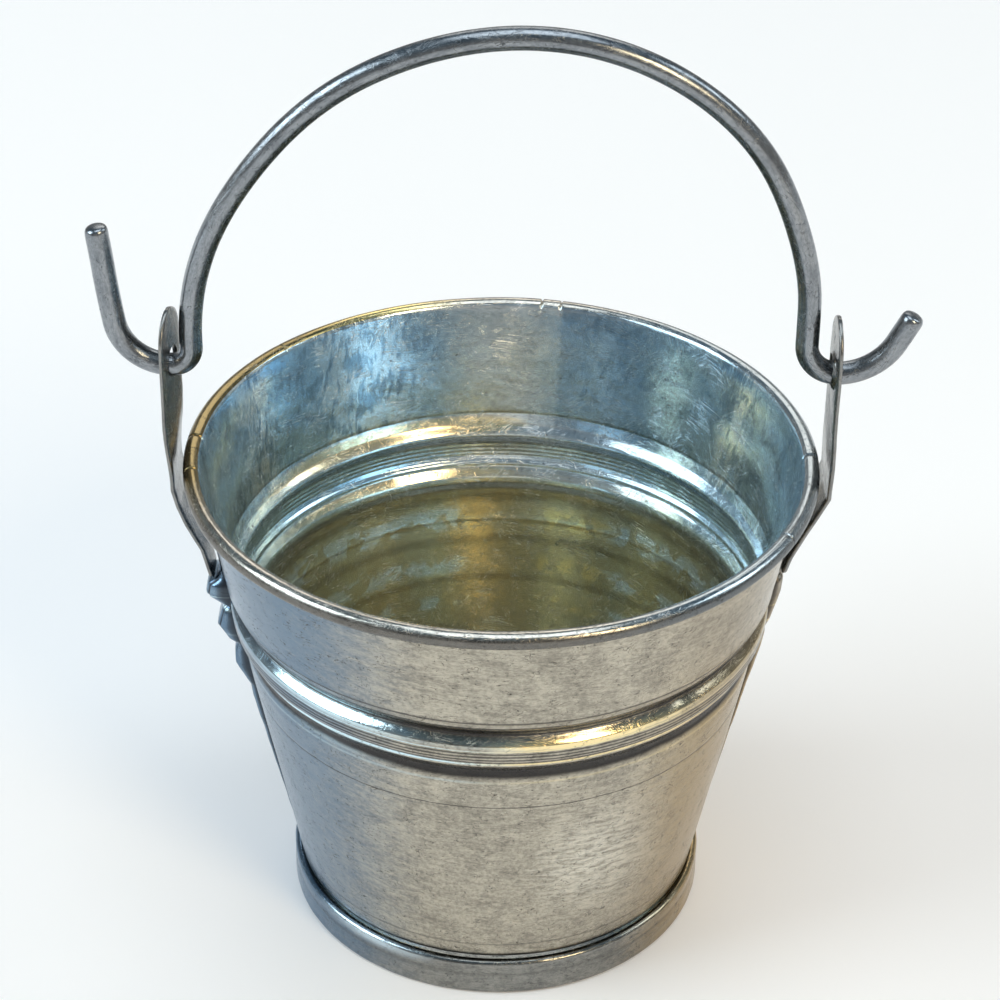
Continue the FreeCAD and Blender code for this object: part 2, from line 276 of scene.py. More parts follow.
def layer(skin_made, middle, towards_front, rows, groove=()):
    """A folded layer lying along the wall: rows of (height, half width, thickness)."""
    shares = [-1, -0.985, -0.94, -0.87, -0.75, -0.5, -0.25, 0, 0.25, 0.5, 0.6, 0.66, 0.7, 0.74, 0.8, 0.87,
              0.94, 0.985, 1]
    table = np.array(sorted(rows))
    count = int((table[-1, 0] - table[0, 0]) / 0.22)
    levels = np.linspace(table[0, 0], table[-1, 0], count)
    grid = []
    for height in levels:
        half = float(np.interp(height, table[:, 0], table[:, 1]))
        thick = float(np.interp(height, table[:, 0], table[:, 2]))
        wander = 0.1 * noise.noise(Vector((middle, 1.0, height / 3)))
        line = []
        for share in shares:
            slit = sum(0.5 * hump(height - at, tall) for at, tall in groove) + 0.22 * bool(groove)
            cut = min(slit, 0.75 * thick) * hump(share - 0.7, 0.05)
            raised = thick * (1 - abs(share) ** 6) ** 0.45 - cut
            raised += 0.05 * noise.noise(Vector((share * 1.5, height / 1.7, middle)))
            line.append((share * half + wander, max(raised, 0.02)))
        line += [(across * 0.98, -0.2) for across, _ in (line[-1], line[0])]
        grid.append([around(middle + towards_front * s / plain(height), plain(height) + h, height)
                     for s, h in line])
    across = [share * 2.4 for share in shares] + [3.0, 7.0, 8.0]
    skin_made.grid(grid, list(levels), across, close_across=True)
    for end in (grid[0], grid[-1]):
        fan = end[:len(shares)]
        left, right = fan[:len(fan) // 2 + 1], fan[len(fan) // 2:][::-1]
        skin_made.grid([left, right], [0, 1], list(range(len(left))))
        skin_made.grid([[left[0], right[0]], [end[-1], end[-2]]], [0, 1], [0, 1])


def seam(side, middle, towards_front, cover):
    made = Skin()
    layer(made, middle, towards_front,
          [(6.4, 2.05, 0.12), (16.0, 2.05, 0.36), (24.0, 2.05, 0.55), (rim_height - 3.2, 2.05, 0.65),
           (rim_height - 1.5, 1.9, 0.55)])
    layer(made, middle, towards_front, cover, slits[side])
    return made.piece(side + "_seam", "pail", [seam_zinc])


# ---- floor and foot --------------------------------------------------------
def bottom_pan():
    ring_inside = foot_radius - sheet
    lip = ring_inside - 0.46
    skirt = ring_inside - 0.57 - skin - 0.07
    corner = 0.5

    def bend(x, z, radius, first, last, steps=8):
        turns = [math.radians(first + (last - first) * k / steps) for k in range(steps + 1)]
        return [(x + radius * math.cos(t), z + radius * math.sin(t)) for t in turns]

    floor_top = 3.2
    outline = [(0.01, floor_top), (6, floor_top), (12, floor_top), (17, floor_top)]
    outline += bend(skirt - 0.35, floor_top - 0.35, 0.35, 90, 0, 6)
    outline += [(skirt, 1.5), (skirt, sheet), (ring_inside - 0.22, sheet)]
    outline += bend(ring_inside - 0.22, sheet + 0.22, 0.22, -90, 0, 5)
    outline += bend(ring_inside - 0.22, foot_height - sheet - 0.22, 0.22, 0, 90, 5)
    outline += [(lip, foot_height - sheet)]
    outline += bend(lip + 0.02, foot_height - 0.14, 0.14, 260, 90, 6)
    outline += bend(foot_radius - corner, foot_height - corner, corner, 88, 0)
    outline += [(foot_radius, z) for z in (3.2, 2.8, 2.4, 2.0, 1.6, 1.2, 0.8)]
    outline += bend(foot_radius - corner, corner, corner, 0, -88)
    outline += [(skirt - sheet + 0.2, 0), (skirt - sheet, 0.2), (skirt - sheet, floor_top - sheet - 0.3),
                (skirt - sheet - 0.3, floor_top - sheet), (12, floor_top - sheet), (6, floor_top - sheet),
                (0.01, floor_top - sheet)]
    turns = [2 * math.pi * k / 360 for k in range(361)]
    rows = []
    for angle in turns[:-1]:
        line = []
        for radius, height in outline:
            loose = smooth_step(foot_radius - 1.2, foot_radius, radius)
            spot = Vector(around(angle, 21, height))
            press = 0.045 * (noise.noise(spot / 4.0) - 1) + 0.02 * noise.noise(spot / 1.2)
            flute = -0.05 * hump(height - 2.5, 0.5) - 0.03 * hump(height - 1.0, 0.3)
            lift = 0.05 * noise.noise(spot / 6.5) * smooth_step(2.5, foot_height, height)
            dish = 0.06 * math.sin(radius * 1.1) * (radius < 17) * (height > 2)
            raised = loose * (lift - 0.03) * (height > 1) + dish
            line.append(around(angle, radius + loose * (press + flute), height + raised))
        rows.append(line)
    lengths = np.concatenate([[0], np.cumsum([math.dist(a, b) for a, b in zip(outline, outline[1:])])])
    made = Skin()
    made.grid(rows, [a * foot_radius for a in turns], list(lengths), close_along=True)
    for ring, height in ((0, floor_top), (-1, floor_top - sheet)):
        hub = [[(0, 0, height)] * 2 for _ in turns]
        edge = [rows[k % 360][ring] for k in range(361)]
        made.grid([[h[0], e] for h, e in zip(hub, edge)], [a for a in turns], [0, 0.01])
    return made.piece("foot_pan", "pail", [foot_zinc], ["bottom_pan"])


# ---- ears ------------------------------------------------------------------
# height, half width, distance of the plate's middle from the ear plane
ear_line = [(48.5, 3.8, 0.0), (51.0, 3.9, 0.0), (54.0, 3.6, 0.0), (57.0, 3.2, 0.0), (60.5, 3.05, 0.0),
            (62.2, 3.0, 0.0)]
hole_height = pin_height + 0.37
hole_radius = 1.55


def strap(name, side, twist, tail_low, tail_out, tuck, replaces):
    """A pierced strap: side is 1 for the right ear, -1 for the left; tuck draws it in under the rim."""
    tip_middle = ear_high.z - 3.2
    tops = [(tip_middle + 3.2 * math.sin(t), 3.0 * math.cos(t) ** 1.25, 0.0)
            for t in np.radians(np.linspace(4, 88, 14))]
    tail = [(tail_low, 1.5, plain(tail_low) + tail_out - ear_plane),
            (tail_low + 0.4, 1.85, plain(tail_low + 0.4) + tail_out - ear_plane),
            (40.4, 2.0, plain(40.4) + tail_out + 0.1 - ear_plane), (42.0, 2.5, -1.75 - tuck),
            (44.0, 3.0, -1.05 - tuck), (46.4, 3.4, -0.35 - 0.6 * tuck)]
    table = np.array(tail + ear_line + tops)
    levels = np.concatenate([np.arange(tail_low, 62.8, 0.35), table[table[:, 0] > 62.8][:, 0]])
    edges = [0, 0.012, 0.04, 0.09, 0.16]
    made = Skin()
    faces = []
    for face in (1, -1):
        grid = []
        for height in levels:
            half, shift = (float(np.interp(height, table[:, 0], table[:, k])) for k in (1, 2))
            inset = [min(edge, half * 0.45 * (k / 4)) for k, edge in enumerate(edges)]
            inner = list(np.linspace(-half + inset[-1], half - inset[-1], 13))[1:-1]
            columns = [-half + e for e in inset] + inner + [half - e for e in reversed(inset)]
            wring = twist * smooth_step(49, 57, height)
            line = []
            for y in columns:
                rim = min(1.0, (half - abs(y)) / edges[-1], (ear_high.z - height) / edges[-1] + 0.02)
                thick = ear_sheet / 2 * math.sqrt(max(0.0, 1 - (1 - rim) ** 2))
                spot = Vector((side * 5, y, height))
                wave = 0.07 * noise.noise(spot / 4.5) + 0.02 * noise.noise(spot / 1.6)
                dish = 0.05 * (1 - (y / 4.4) ** 2)
                hammer = -0.05 * hump(y, 0.5) * hump(height - 47, 3)
                x = ear_plane + shift + wave - dish + hammer
                out = x + face * thick
                line.append((side * (out + math.sin(wring) * y * -1 * (0.55 if side < 0 else 0.25)),
                             y * math.cos(wring), height))
            grid.append(line)
        faces.append(grid)
    widths = np.linspace(-4, 4, len(faces[0][0]))
    for grid in faces:
        made.grid(grid, list(levels), list(widths))
    for row in (0, -1):
        made.grid([faces[0][row], faces[1][row]], [0, 0.4], list(widths))
    for column in (0, -1):
        made.grid([[line[column] for line in grid] for grid in faces], [0, 0.4], list(levels))
    plate = made.piece(name, "pail", [strap_zinc], replaces, sharp=50)
    bpy.ops.mesh.primitive_cylinder_add(vertices=56, radius=hole_radius * MM, depth=4 * MM,
                                        location=(side * ear_plane * MM, 0, hole_height * MM),
                                        rotation=(0, math.pi / 2, 0))
    punch = bpy.context.object
    cut = plate.modifiers.new("hole", "BOOLEAN")
    cut.object = punch
    cut.solver = "EXACT"
    bpy.context.view_layer.update()
    cut_mesh = bpy.data.meshes.new_from_object(plate.evaluated_get(bpy.context.evaluated_depsgraph_get()))
    plate.modifiers.clear()
    plate.data = cut_mesh
    cut_mesh.name = name
    bpy.data.objects.remove(punch)
    cut_mesh.shade_smooth()
    cut_mesh.set_sharp_from_angle(angle=math.radians(50))
    return plate


def burr(name, side):
    """The lip that the punch raised round the ear's hole, on its inner side."""
    profile = [(0.03, -0.05), (0.0, 0.12), (0.02, 0.24), (0.1, 0.3), (0.2, 0.25), (0.32, 0.12),
               (0.44, 0.02), (0.5, -0.06), (0.26, -0.12)]
    turns = [2 * math.pi * k / 72 for k in range(73)]
    rows = []
    for turn in turns[:-1]:
        ragged = 1 + 0.35 * noise.noise(Vector((math.cos(turn) * 2, math.sin(turn) * 2, side)))
        row = []
        for out, rise in profile:
            radius = hole_radius + out
            row.append((side * (ear_plane - ear_sheet / 2 - rise * ragged + 0.03),
                        radius * math.cos(turn), hole_height + radius * math.sin(turn)))
        rows.append(row)
    made = Skin()
    made.grid(rows, [t * hole_radius for t in turns], list(np.linspace(0, 1, len(profile) + 1)),
              close_along=True, close_across=True)
    return made.piece(name, "pail", [strap_zinc])


# ---- bail ------------------------------------------------------------------
def bent(points):
    """The wire's line through (x, z, bend radius) points, as short steps."""
    line = []
    for index, (x, z, radius) in enumerate(points):
        here = Vector((x, z))
        if radius == 0:
            line.append(here)
            continue
        before = (Vector(points[index - 1][:2]) - here).normalized()
        after = (Vector(points[index + 1][:2]) - here).normalized()
        half = before.angle(after) / 2
        centre = here + (before + after).normalized() * (radius / math.sin(half))
        first = here + before * (radius / math.tan(half)) - centre
        sweep = math.copysign(math.pi - 2 * half, before.y * after.x - before.x * after.y)
        for k in range(13):
            a = sweep * k / 12
            line.append(centre + Vector((first.x * math.cos(a) - first.y * math.sin(a),
                                         first.x * math.sin(a) + first.y * math.cos(a))))
    return line


def bail():
    hook = bail_high.x - wire
    crown = bail_high.z - wire - 0.02
    left_leg, right_leg = ear_plane - 2.1, ear_plane - 2.92
    shift = 1.7
    left_arc, right_arc = left_leg + shift, right_leg - shift
    left_tip, right_tip = pin_height + 13.88, pin_height + 5.68
    left_hook = 0.35 - hook
    left_foot = left_hook + 13.88 * math.tan(math.radians(8))
    right_foot = hook - 5.68 * math.tan(math.radians(27))
    line = bent([(left_hook, left_tip, 0), (left_foot, pin_height, 5.4), (-left_leg, pin_height, 1.9),
                 (-left_leg, crown - left_arc, 0)])
    for k in range(1, 60):
        a = math.pi * (1 - k / 120)
        line.append(Vector((shift + left_arc * math.cos(a), crown - left_arc + left_arc * math.sin(a))))
    for k in range(0, 61):
        a = math.pi / 2 * (1 - k / 60)
        line.append(Vector((shift + right_arc * math.cos(a),
                            crown - right_arc + right_arc * math.sin(a))))
    line += bent([(right_leg, crown - right_arc - 0.01, 0), (right_leg, pin_height, 3.1),
                  (right_foot, pin_height, 6.2), (hook - 0.06, right_tip, 0)])[1:]
    spaced = [line[0]]
    for a, b in zip(line, line[1:]):
        count = max(1, round((b - a).length / 0.5))
        spaced += [a.lerp(b, k / count) for k in range(1, count + 1)]
    steps = [0.0]
    for a, b in zip(spaced, spaced[1:]):
        steps.append(steps[-1] + (b - a).length)
    total = steps[-1]
    sides = 32
    blunt = [(-0.86, 0.0), (-0.85, 0.35), (-0.8, 0.66), (-0.68, 0.85), (-0.48, 0.95), (-0.22, 0.99)]
    stations = []
    for index, (spot, along) in enumerate(zip(spaced, steps)):
        a = spaced[max(index - 1, 0)]
        b = spaced[min(index + 1, len(spaced) - 1)]
        stations.append((spot, (b - a).normalized(), 1.0, along))
    first, last = stations[0], stations[-1]
    start = [(first[0] + first[1] * off, first[1], size, off) for off, size in blunt]
    finish = [(last[0] - last[1] * off, last[1], size, total - off) for off, size in reversed(blunt)]
    rows, lengths = [], []
    for spot, direction, size, along in start + stations + finish:
        free = smooth_step(0, 3, along) * (1 - smooth_step(total - 3, total, along))
        upright = smooth_step(pin_height + 3, pin_height + 12, spot.y)
        kink = 0.1 * (noise.noise(Vector((along / 14, 0.5, 0))) - 0.5) * free * upright
        sway = 0.1 * noise.noise(Vector((along / 16, 7.5, 0))) * free * upright
        flatter = 0.6 * hump(spot.y - 83, 9) if spot.x < 0 else -0.35 * hump(spot.y - 77, 6)
        flatter *= smooth_step(0, 10, abs(spot.x)) * upright
        normal = Vector((-direction.y, direction.x))
        if normal.dot(Vector((spot.x, spot.y - pin_height))) < 0:
            normal = -normal
        ring = []
        for k in range(sides):
            turn = 2 * math.pi * k / sides
            drawn = 0.008 * noise.noise(Vector((along / 2.5, math.cos(turn) * 2, math.sin(turn) * 2)))
            radius = (wire - 0.012 + drawn) * size
            flat = spot + Vector((-direction.y, direction.x)) * (radius * math.cos(turn)) + normal * kink
            ring.append((flat.x + flatter, sway + radius * math.sin(turn), flat.y))
        rows.append(ring)
        lengths.append(along)
    made = Skin()
    round_wire = [2 * math.pi * wire * k / sides for k in range(sides + 1)]
    made.grid(rows, lengths, round_wire, close_across=True)
    return made.piece("bail_wire", "bail", [wire_zinc], ["bail"], sharp=70)


# ---- finishes --------------------------------------------------------------
class Value:
    """A number, vector or colour in a finish. Arithmetic on numbers adds Math nodes."""

    def __init__(self, finish, socket):
        self.finish = finish
        self.socket = socket

    def maths(self, operation, *others):
        return self.finish.add("Math", {"operation": operation}, dict(enumerate(others)))

    def __add__(self, other):
        return self.maths("ADD", self, other)

    __radd__ = __add__

    def __mul__(self, other):
        return self.maths("MULTIPLY", self, other)

    __rmul__ = __mul__

    def __sub__(self, other):
        return self.maths("SUBTRACT", self, other)

    def __rsub__(self, other):
        return self.maths("SUBTRACT", other, self)

    def __abs__(self):
        return self.maths("ABSOLUTE", self)


class Finish:
    """The nodes of a material or of the sky."""

    def __init__(self, owner):
        self.owner = owner
        owner.use_nodes = True
        self.tree = owner.node_tree
        self.tree.nodes.clear()

    def add(self, kind, settings=None, inputs=None, output=0):
        """A node: its settings first, its ramp stops among them, then its values and links."""
        node = self.tree.nodes.new("ShaderNode" + kind)
        for key, value in (settings or {}).items():
            if key == "stops":
                for stop, (position, colour) in zip(node.color_ramp.elements, value):
                    stop.position = position
                    stop.color = colour
            else:
                setattr(node, key, value)
        for key, value in (inputs or {}).items():
            if isinstance(value, Value):
                self.tree.links.new(value.socket, node.inputs[key])
            else:
                node.inputs[key].default_value = value
        return Value(self, node.outputs[output]) if node.outputs else node

    def place(self):
        """Place on the object, in millimetres."""
        spot = self.add("TexCoord", output="Object")
        return self.add("VectorMath", {"operation": "SCALE"}, {0: spot, "Scale": 1 / MM})

    def flat(self):
        """Place on the flat sheet, in millimetres."""
        return self.add("UVMap", {"uv_map": "flat_sheet"})

    def part(self, vector, axis):
        """One number of a vector."""
        return self.add("SeparateXYZ", None, {0: vector}, output=axis)

    def stretched(self, vector, size, turn=0.0):
        """The vector turned about Z by turn degrees, with a pattern as long as size says."""
        turned = self.add("VectorRotate", {"rotation_type": "Z_AXIS"},
                          {"Vector": vector, "Angle": math.radians(turn)})
        scale = tuple(1 / s for s in size)
        return self.add("VectorMath", {"operation": "MULTIPLY"}, {0: turned, 1: scale})

    def noise(self, vector, size=1.0, detail=3.0, rough=0.55, warp=0.0):
        return self.add("TexNoise", None, {"Vector": vector, "Scale": 1 / size, "Detail": detail,
                                           "Roughness": rough, "Distortion": warp})

    def step(self, value, low, high, start=0.0, end=1.0):
        """Rises smoothly from start to end while value goes from low to high."""
        return self.add("MapRange", {"interpolation_type": "SMOOTHSTEP"},
                        {"Value": value, "From Min": low, "From Max": high,
                         "To Min": start, "To Max": end})

    def mix(self, share, one, other):
        """Blends two colours: share is how much of the second."""
        return self.add("Mix", {"data_type": "RGBA"}, {0: share, 6: one, 7: other}, output=2)

    def hairs(self, vector, size, turn, width, patch, patch_low=0.5):
        """Fine scratches that run one way, in patches."""
        lines = self.noise(self.stretched(vector, size, turn), detail=1.5, warp=0.25)
        near = self.step(abs(lines - 0.5), width, 0.0)
        where = self.noise(vector, patch, detail=2.0)
        return near * self.step(where, patch_low, patch_low + 0.12)

    def band(self, value, middle, width):
        """1 at a place, falling smoothly to 0 a width away."""
        return self.step(abs(value - middle), width, 0.0)


def tint(red, green, blue):
    return (red, green, blue, 1.0)


def zinc(name, light, dark, rough, cells=1.0, scratch=1.0, marks=1.0, wavy=1.0, metal=1.0,
         shade=None, tints_and_painted_light=None, polish=None):
    """Galvanised sheet: cloudy zinc, hair scratches, smudges and pits, with painted shade and painted
    reflections from the callbacks that are passed in.
    """
    f = Finish(bpy.data.materials.new(name))
    place, flat = f.place(), f.flat()
    cloud = f.noise(place, 3.2, detail=5.0, rough=0.62, warp=0.4)
    mottle = f.noise(flat, 0.55 * cells, detail=4.0, rough=0.7)
    grains = f.noise(f.stretched(flat, (0.5, 0.13, 1), 0), detail=4.0, rough=0.75)
    smear = f.noise(f.stretched(flat, (2.6, 0.5, 1), 4), detail=5.0, rough=0.65, warp=0.6)
    tone = f.step(cloud * 0.26 + mottle * 0.26 + grains * 0.32 + smear * 0.26, 0.43, 0.66)
    colour = f.mix(tone, tint(*dark), tint(*light))
    # the colour callback paints reflections, highlights and tints into the colour
    if tints_and_painted_light:
        colour = tints_and_painted_light(f, place, colour, smear)
    hairs = f.hairs(flat, (9.0, 0.16, 1), 7, 0.010, 4.0, 0.47)
    hairs = hairs + f.hairs(flat, (7.0, 0.14, 1), 62, 0.008, 3.0, 0.52)
    hairs = hairs + f.hairs(flat, (6.0, 0.12, 1), -38, 0.008, 3.5, 0.5)
    hairs = f.step(hairs, 0.0, 1.0)
    dark_marks = f.hairs(flat, (2.2, 0.5, 1), -12, 0.022, 2.4, 0.46)
    dark_marks = dark_marks + f.hairs(flat, (0.9, 0.7, 1), 35, 0.03, 1.6, 0.52)
    chips = f.add("TexVoronoi", None, {"Vector": f.stretched(flat, (0.8, 0.55, 1), 20), "Scale": 1.0,
                                       "Randomness": 1.0})
    chips = f.step(chips, 0.26, 0.08) * f.step(f.noise(flat, 1.7, detail=1.0), 0.48, 0.6)
    colour = f.mix(hairs * (0.3 * scratch), colour, tint(*[min(0.86, c * 1.5) for c in light]))
    colour = f.mix(f.step(dark_marks * 0.7 + chips * 0.7, 0.0, 1.2) * (0.8 * marks), colour,
                   tint(*[c * 0.3 for c in dark]))
    gloss = rough + (mottle - 0.5) * 0.16 + (cloud - 0.5) * 0.16
    gloss = gloss + hairs * (0.12 * scratch) + dark_marks * 0.12
    if polish:
        gloss = gloss - polish(f, place) * 0.16
    # the shade callback paints shade as near-black colour
    if shade:
        shadow = shade(f, place, smear)
        colour = f.mix(shadow, colour, tint(0.035, 0.033, 0.034))
        gloss = gloss + shadow * 0.15
    fine = grains * 0.5 + mottle * 0.5 - hairs * (0.5 * scratch) - dark_marks * 0.7 - chips * 0.8
    waves = f.noise(f.stretched(flat, (7.0, 3.0, 1), 8), detail=2.0)
    coarse = f.add("Bump", None, {"Strength": 1.0, "Distance": 0.045 * MM * wavy, "Height": waves})
    normal = f.add("Bump", None, {"Strength": 0.55, "Distance": 0.016 * MM, "Height": fine,
                                  "Normal": coarse})
    gloss = f.step(gloss, 0.0, 1.0, 0.04, 0.96)
    surface = f.add("BsdfPrincipled", None, {"Base Color": colour, "Metallic": metal, "Roughness": gloss,
                                             "Normal": normal})
    f.add("OutputMaterial", None, {"Surface": surface})
    return f.owner


def along_bead(f, place):
    """Where the painted highlights on the ridge lie: on the left flank, and right of the front."""
    across = f.part(place, 0) + (f.noise(f.stretched(place, (3.0, 3.0, 0.5)), detail=3.0) - 0.5) * 7
    return f.band(across, -16, 11), f.band(across, 8, 12)


def outside_polish(f, place):
    return f.band(f.part(place, 2), crest - 0.4, 5.2)


def outside_painted_reflections(f, place, colour, smear):
    """Painted reflections: duller and bluer on the left, browner low on the right, a painted lamp
    highlight low right of the front, and painted highlights along the ridge.
    """
    across = f.part(place, 0) + (smear - 0.5) * 7
    rise = f.part(place, 2) - crest + (smear - 0.5) * 0.2
    # painted cool reflection on the left
    colour = f.mix(f.step(across, -6, -20) * 0.86, colour, tint(0.13, 0.22, 0.325))
    # painted brown reflection low on the right
    brown = f.step(across, 11, 22) * f.step(rise, 12, -12, 0.15, 1.0)
    colour = f.mix(brown * 0.88, colour, tint(0.43, 0.305, 0.14))
    # painted lamp highlight low, right of the front
    lamp_highlight = f.band(across, 10, 8) * f.band(rise, -17, 10) * f.step(smear, 0.36, 0.6)
    colour = f.mix(lamp_highlight * 0.65, colour, tint(0.84, 0.80, 0.70))
    # painted highlights along the ridge and its flanks, pale blue on the left and gold on the right
    left, right = along_bead(f, place)
    ridge = f.band(rise, 0.95, 0.8) * (right * 1.4 + 0.25) + f.band(rise, -1.55, 0.26) * 0.9
    ridge = ridge + f.band(rise, 0.42, 0.13) * 0.6 + f.band(rise, -4.3, 0.3) * 0.35
    flank = f.band(rise, 1.7, 1.9) + f.band(rise, -1.9, 0.9) * 0.8 + f.band(rise, -3.7, 0.5) * 0.5
    flank = left * flank
    highlight_tint = f.mix(f.step(across, -6, 4), tint(0.72, 0.92, 1.0), tint(1.0, 0.82, 0.45))
    return f.mix(f.step(ridge + flank, 0.0, 1.1), colour, highlight_tint)


def inside_painted_reflections(f, place, colour, smear):
    """Painted reflections inside: bright and cool above the bead, with painted window reflections and
    darker patches, a painted gold highlight on the bead's left, and olive below with painted bright arcs
    and dark bands.
    """
    across = f.part(place, 0) + (smear - 0.5) * 5
    height = f.part(place, 2) + (smear - 0.5) * 3
    # painted cool reflection, strongest towards the sides
    upper = f.step(height, crest + 1.5, crest + 4)
    cool = f.step(abs(across - 1), 4, 17, 0.1, 1.0)
    colour = f.mix(cool * 0.8, colour, tint(0.46, 0.68, 0.82))
    # painted darker reflection on one stretch above the bead
    turn = f.part(f.flat(), 0) + (smear - 0.5) * 1.5
    dusk = f.step(turn, 88.2, 87.4) * f.step(turn, 58, 76) * upper
    colour = f.mix(dusk * 0.6, colour, tint(0.26, 0.36, 0.46))
    # painted window reflections above the bead
    strokes = f.noise(f.stretched(f.flat(), (0.7, 2.6, 1), 12), detail=4.0, rough=0.7, warp=0.8)
    patches = f.noise(f.stretched(f.flat(), (3.6, 3.0, 1), -20), detail=3.0, warp=0.5)
    gleam = f.step(turn, 116.6, 115.8) * f.step(turn, 102, 108)
    gleam = gleam + f.band(turn, 127, 6) + f.band(turn, 64, 5)
    gleam = gleam * upper * f.step(strokes * 0.6 + patches * 0.4, 0.43, 0.56)
    colour = f.mix(f.step(gleam, 0.0, 1.0) * 0.85, colour, tint(0.88, 0.97, 1.0))
    murk = f.step(strokes * 0.5 + patches * 0.5, 0.53, 0.38) * f.step(abs(across), 3, 9) * upper
    colour = f.mix(murk * 0.6, colour, tint(0.16, 0.25, 0.33))
    lower = f.step(height, crest - 1, crest - 5)
    colour = f.mix(lower * f.step(abs(across), 29, 20) * 0.8, colour, tint(0.62, 0.535, 0.30))
    # painted bright reflections in arcs low inside
    level = f.part(place, 2) + (smear - 0.5) * 0.8
    arcs = f.band(level, 27.2, 1.9) + f.band(level, 22.0, 1.5) + f.band(level, 17.8, 1.2) * 0.8
    lit = f.step(patches, 0.44, 0.54) * f.step(abs(across), 2, 5) * arcs * 1.5
    reflected = f.mix(f.step(abs(across - 4), 6, 9), tint(0.95, 0.82, 0.45), tint(0.80, 0.93, 1.0))
    colour = f.mix(f.step(lit, 0.0, 1.0) * 0.8, colour, reflected)
    dim = f.band(level, 29.4, 0.8) + f.band(level, 24.8, 0.9) + f.band(level, 20.3, 0.7)
    colour = f.mix(f.step(dim, 0.0, 1.0) * 0.4, colour, tint(0.13, 0.115, 0.075))
    # painted gold highlight on the bead's left
    near = f.part(place, 2) - crest
    gold = f.band(near, 3.1, 1.4) * 1.4 + f.band(near, -2.3, 0.8)
    gold = gold * f.step(across, 5, -3) * f.step(across, -27, -18)
    return f.mix(f.step(gold, 0.0, 1.0) * 0.85, colour, tint(0.98, 0.80, 0.46))


def outside_shade(f, place, smear):
    """Painted shade and painted dark reflections: dark lines in the grooves, under the rim and above the
    foot.
    """
    rise = f.part(place, 2) - crest + (smear - 0.5) * 0.22
    left, right = along_bead(f, place)
    # painted shade in the groove above the ridge, lighter where the painted highlights lie
    groove = f.band(rise, 2.3, 1.25) * (1.0 - f.step(left + right, 0.0, 1.0) * 0.8)
    dark = f.band(rise, 4.0, 0.28) * 0.8 + groove
    dark = dark + f.band(rise, -3.0, 1.35) * (1.7 - left * 0.7) + f.band(rise, -7.75, 0.15) * 0.8
    for line in (3.2, 2.6, 1.95, 0.12, -0.28, -0.68, -1.08):
        dark = dark + f.band(rise, line, 0.2) * 0.85
    # painted shade in the crack above the foot, at the shoulder and under the rim
    low = f.part(place, 2) + (smear - 0.5) * 0.3
    dark = dark + f.band(low, foot_height + 0.25, 0.85) * 1.5 + f.band(low, shoulder_height, 0.25) * 0.5
    dark = dark + f.band(low, rim_height - 1.2, 0.9) * 0.35
    return f.step(dark, 0.0, 1.1, 0.0, 0.95)


def foot_shade(f, place, smear):
    height = f.part(place, 2) + (smear - 0.5) * 0.3
    return f.step(f.band(height, 2.5, 0.5) * 0.4 + f.band(height, 0.0, 0.5) * 0.6, 0.0, 1.2)


def foot_painted_reflections(f, place, colour, smear):
    """As the wall above it, with a painted highlight streak on the left."""
    across = f.part(place, 0) + (smear - 0.5) * 5
    # painted highlight streak on the foot's top edge
    streak = f.band(across, -12, 7) * f.band(f.part(place, 2), foot_height - 0.5, 0.9)
    return f.mix(streak * 0.8, outside_painted_reflections(f, place, colour, smear), tint(0.72, 0.86, 0.95))


def rim_tints_and_highlight(f, place, colour, smear):
    """Brown on the left, a painted gold highlight behind it, cool on the right."""
    across = f.part(place, 0) + (smear - 0.5) * 5
    depth = f.part(place, 1)
    tan = f.step(across, -10, -19) * f.step(depth, -15, -4)
    colour = f.mix(tan * 0.95, colour, tint(0.30, 0.225, 0.095))
    # painted gold highlight behind the left
    gold = f.band(across, -12, 10) * f.step(depth, 16, 24)
    colour = f.mix(gold * 0.95, colour, tint(0.98, 0.78, 0.34))
    return f.mix(f.step(across, 6, 20) * 0.7, colour, tint(0.42, 0.50, 0.56))


def rim_shade(f, place, smear):
    """Painted shade on the underside and outer face of the roll; its top is left bright."""
    height = f.part(place, 2) + (smear - 0.5) * 0.2
    level = f.add("VectorMath", {"operation": "MULTIPLY"}, {0: place, 1: (1, 1, 0)})
    radius = f.add("VectorMath", {"operation": "LENGTH"}, {0: level}, output="Value")
    outer = f.step(radius, rim_radius - 0.1, rim_radius + 0.45)
    return f.step(height, rim_height + 0.62, rim_height + 0.3) * outer * 0.72


def seam_shade(f, place, smear):
    """Painted shade in the gaps along the folded edges."""
    across = f.part(f.flat(), 1)
    return f.step(f.band(across, 1.68, 0.24) + f.band(abs(across), 2.38, 0.3) * 0.9, 0.0, 1.1, 0.0, 0.9)


outside_zinc = zinc("outside_zinc", (0.57, 0.52, 0.425), (0.25, 0.228, 0.19), 0.27, marks=1.15,
                    shade=outside_shade, tints_and_painted_light=outside_painted_reflections, polish=outside_polish)
inside_zinc = zinc("inside_zinc", (0.86, 0.88, 0.87), (0.62, 0.65, 0.66), 0.2, scratch=1.3, wavy=1.5,
                   metal=0.87, tints_and_painted_light=inside_painted_reflections)
rim_zinc = zinc("rim_zinc", (0.66, 0.62, 0.55), (0.38, 0.36, 0.32), 0.22, cells=0.7, tints_and_painted_light=rim_tints_and_highlight,
                shade=rim_shade)
seam_zinc = zinc("seam_zinc", (0.42, 0.43, 0.43), (0.22, 0.235, 0.25), 0.28, shade=seam_shade,
                 tints_and_painted_light=outside_painted_reflections)
foot_zinc = zinc("foot_zinc", (0.34, 0.335, 0.31), (0.16, 0.16, 0.155), 0.24, shade=foot_shade,
                 tints_and_painted_light=foot_painted_reflections)
strap_zinc = zinc("strap_zinc", (0.34, 0.335, 0.32), (0.17, 0.168, 0.165), 0.28, cells=0.8)
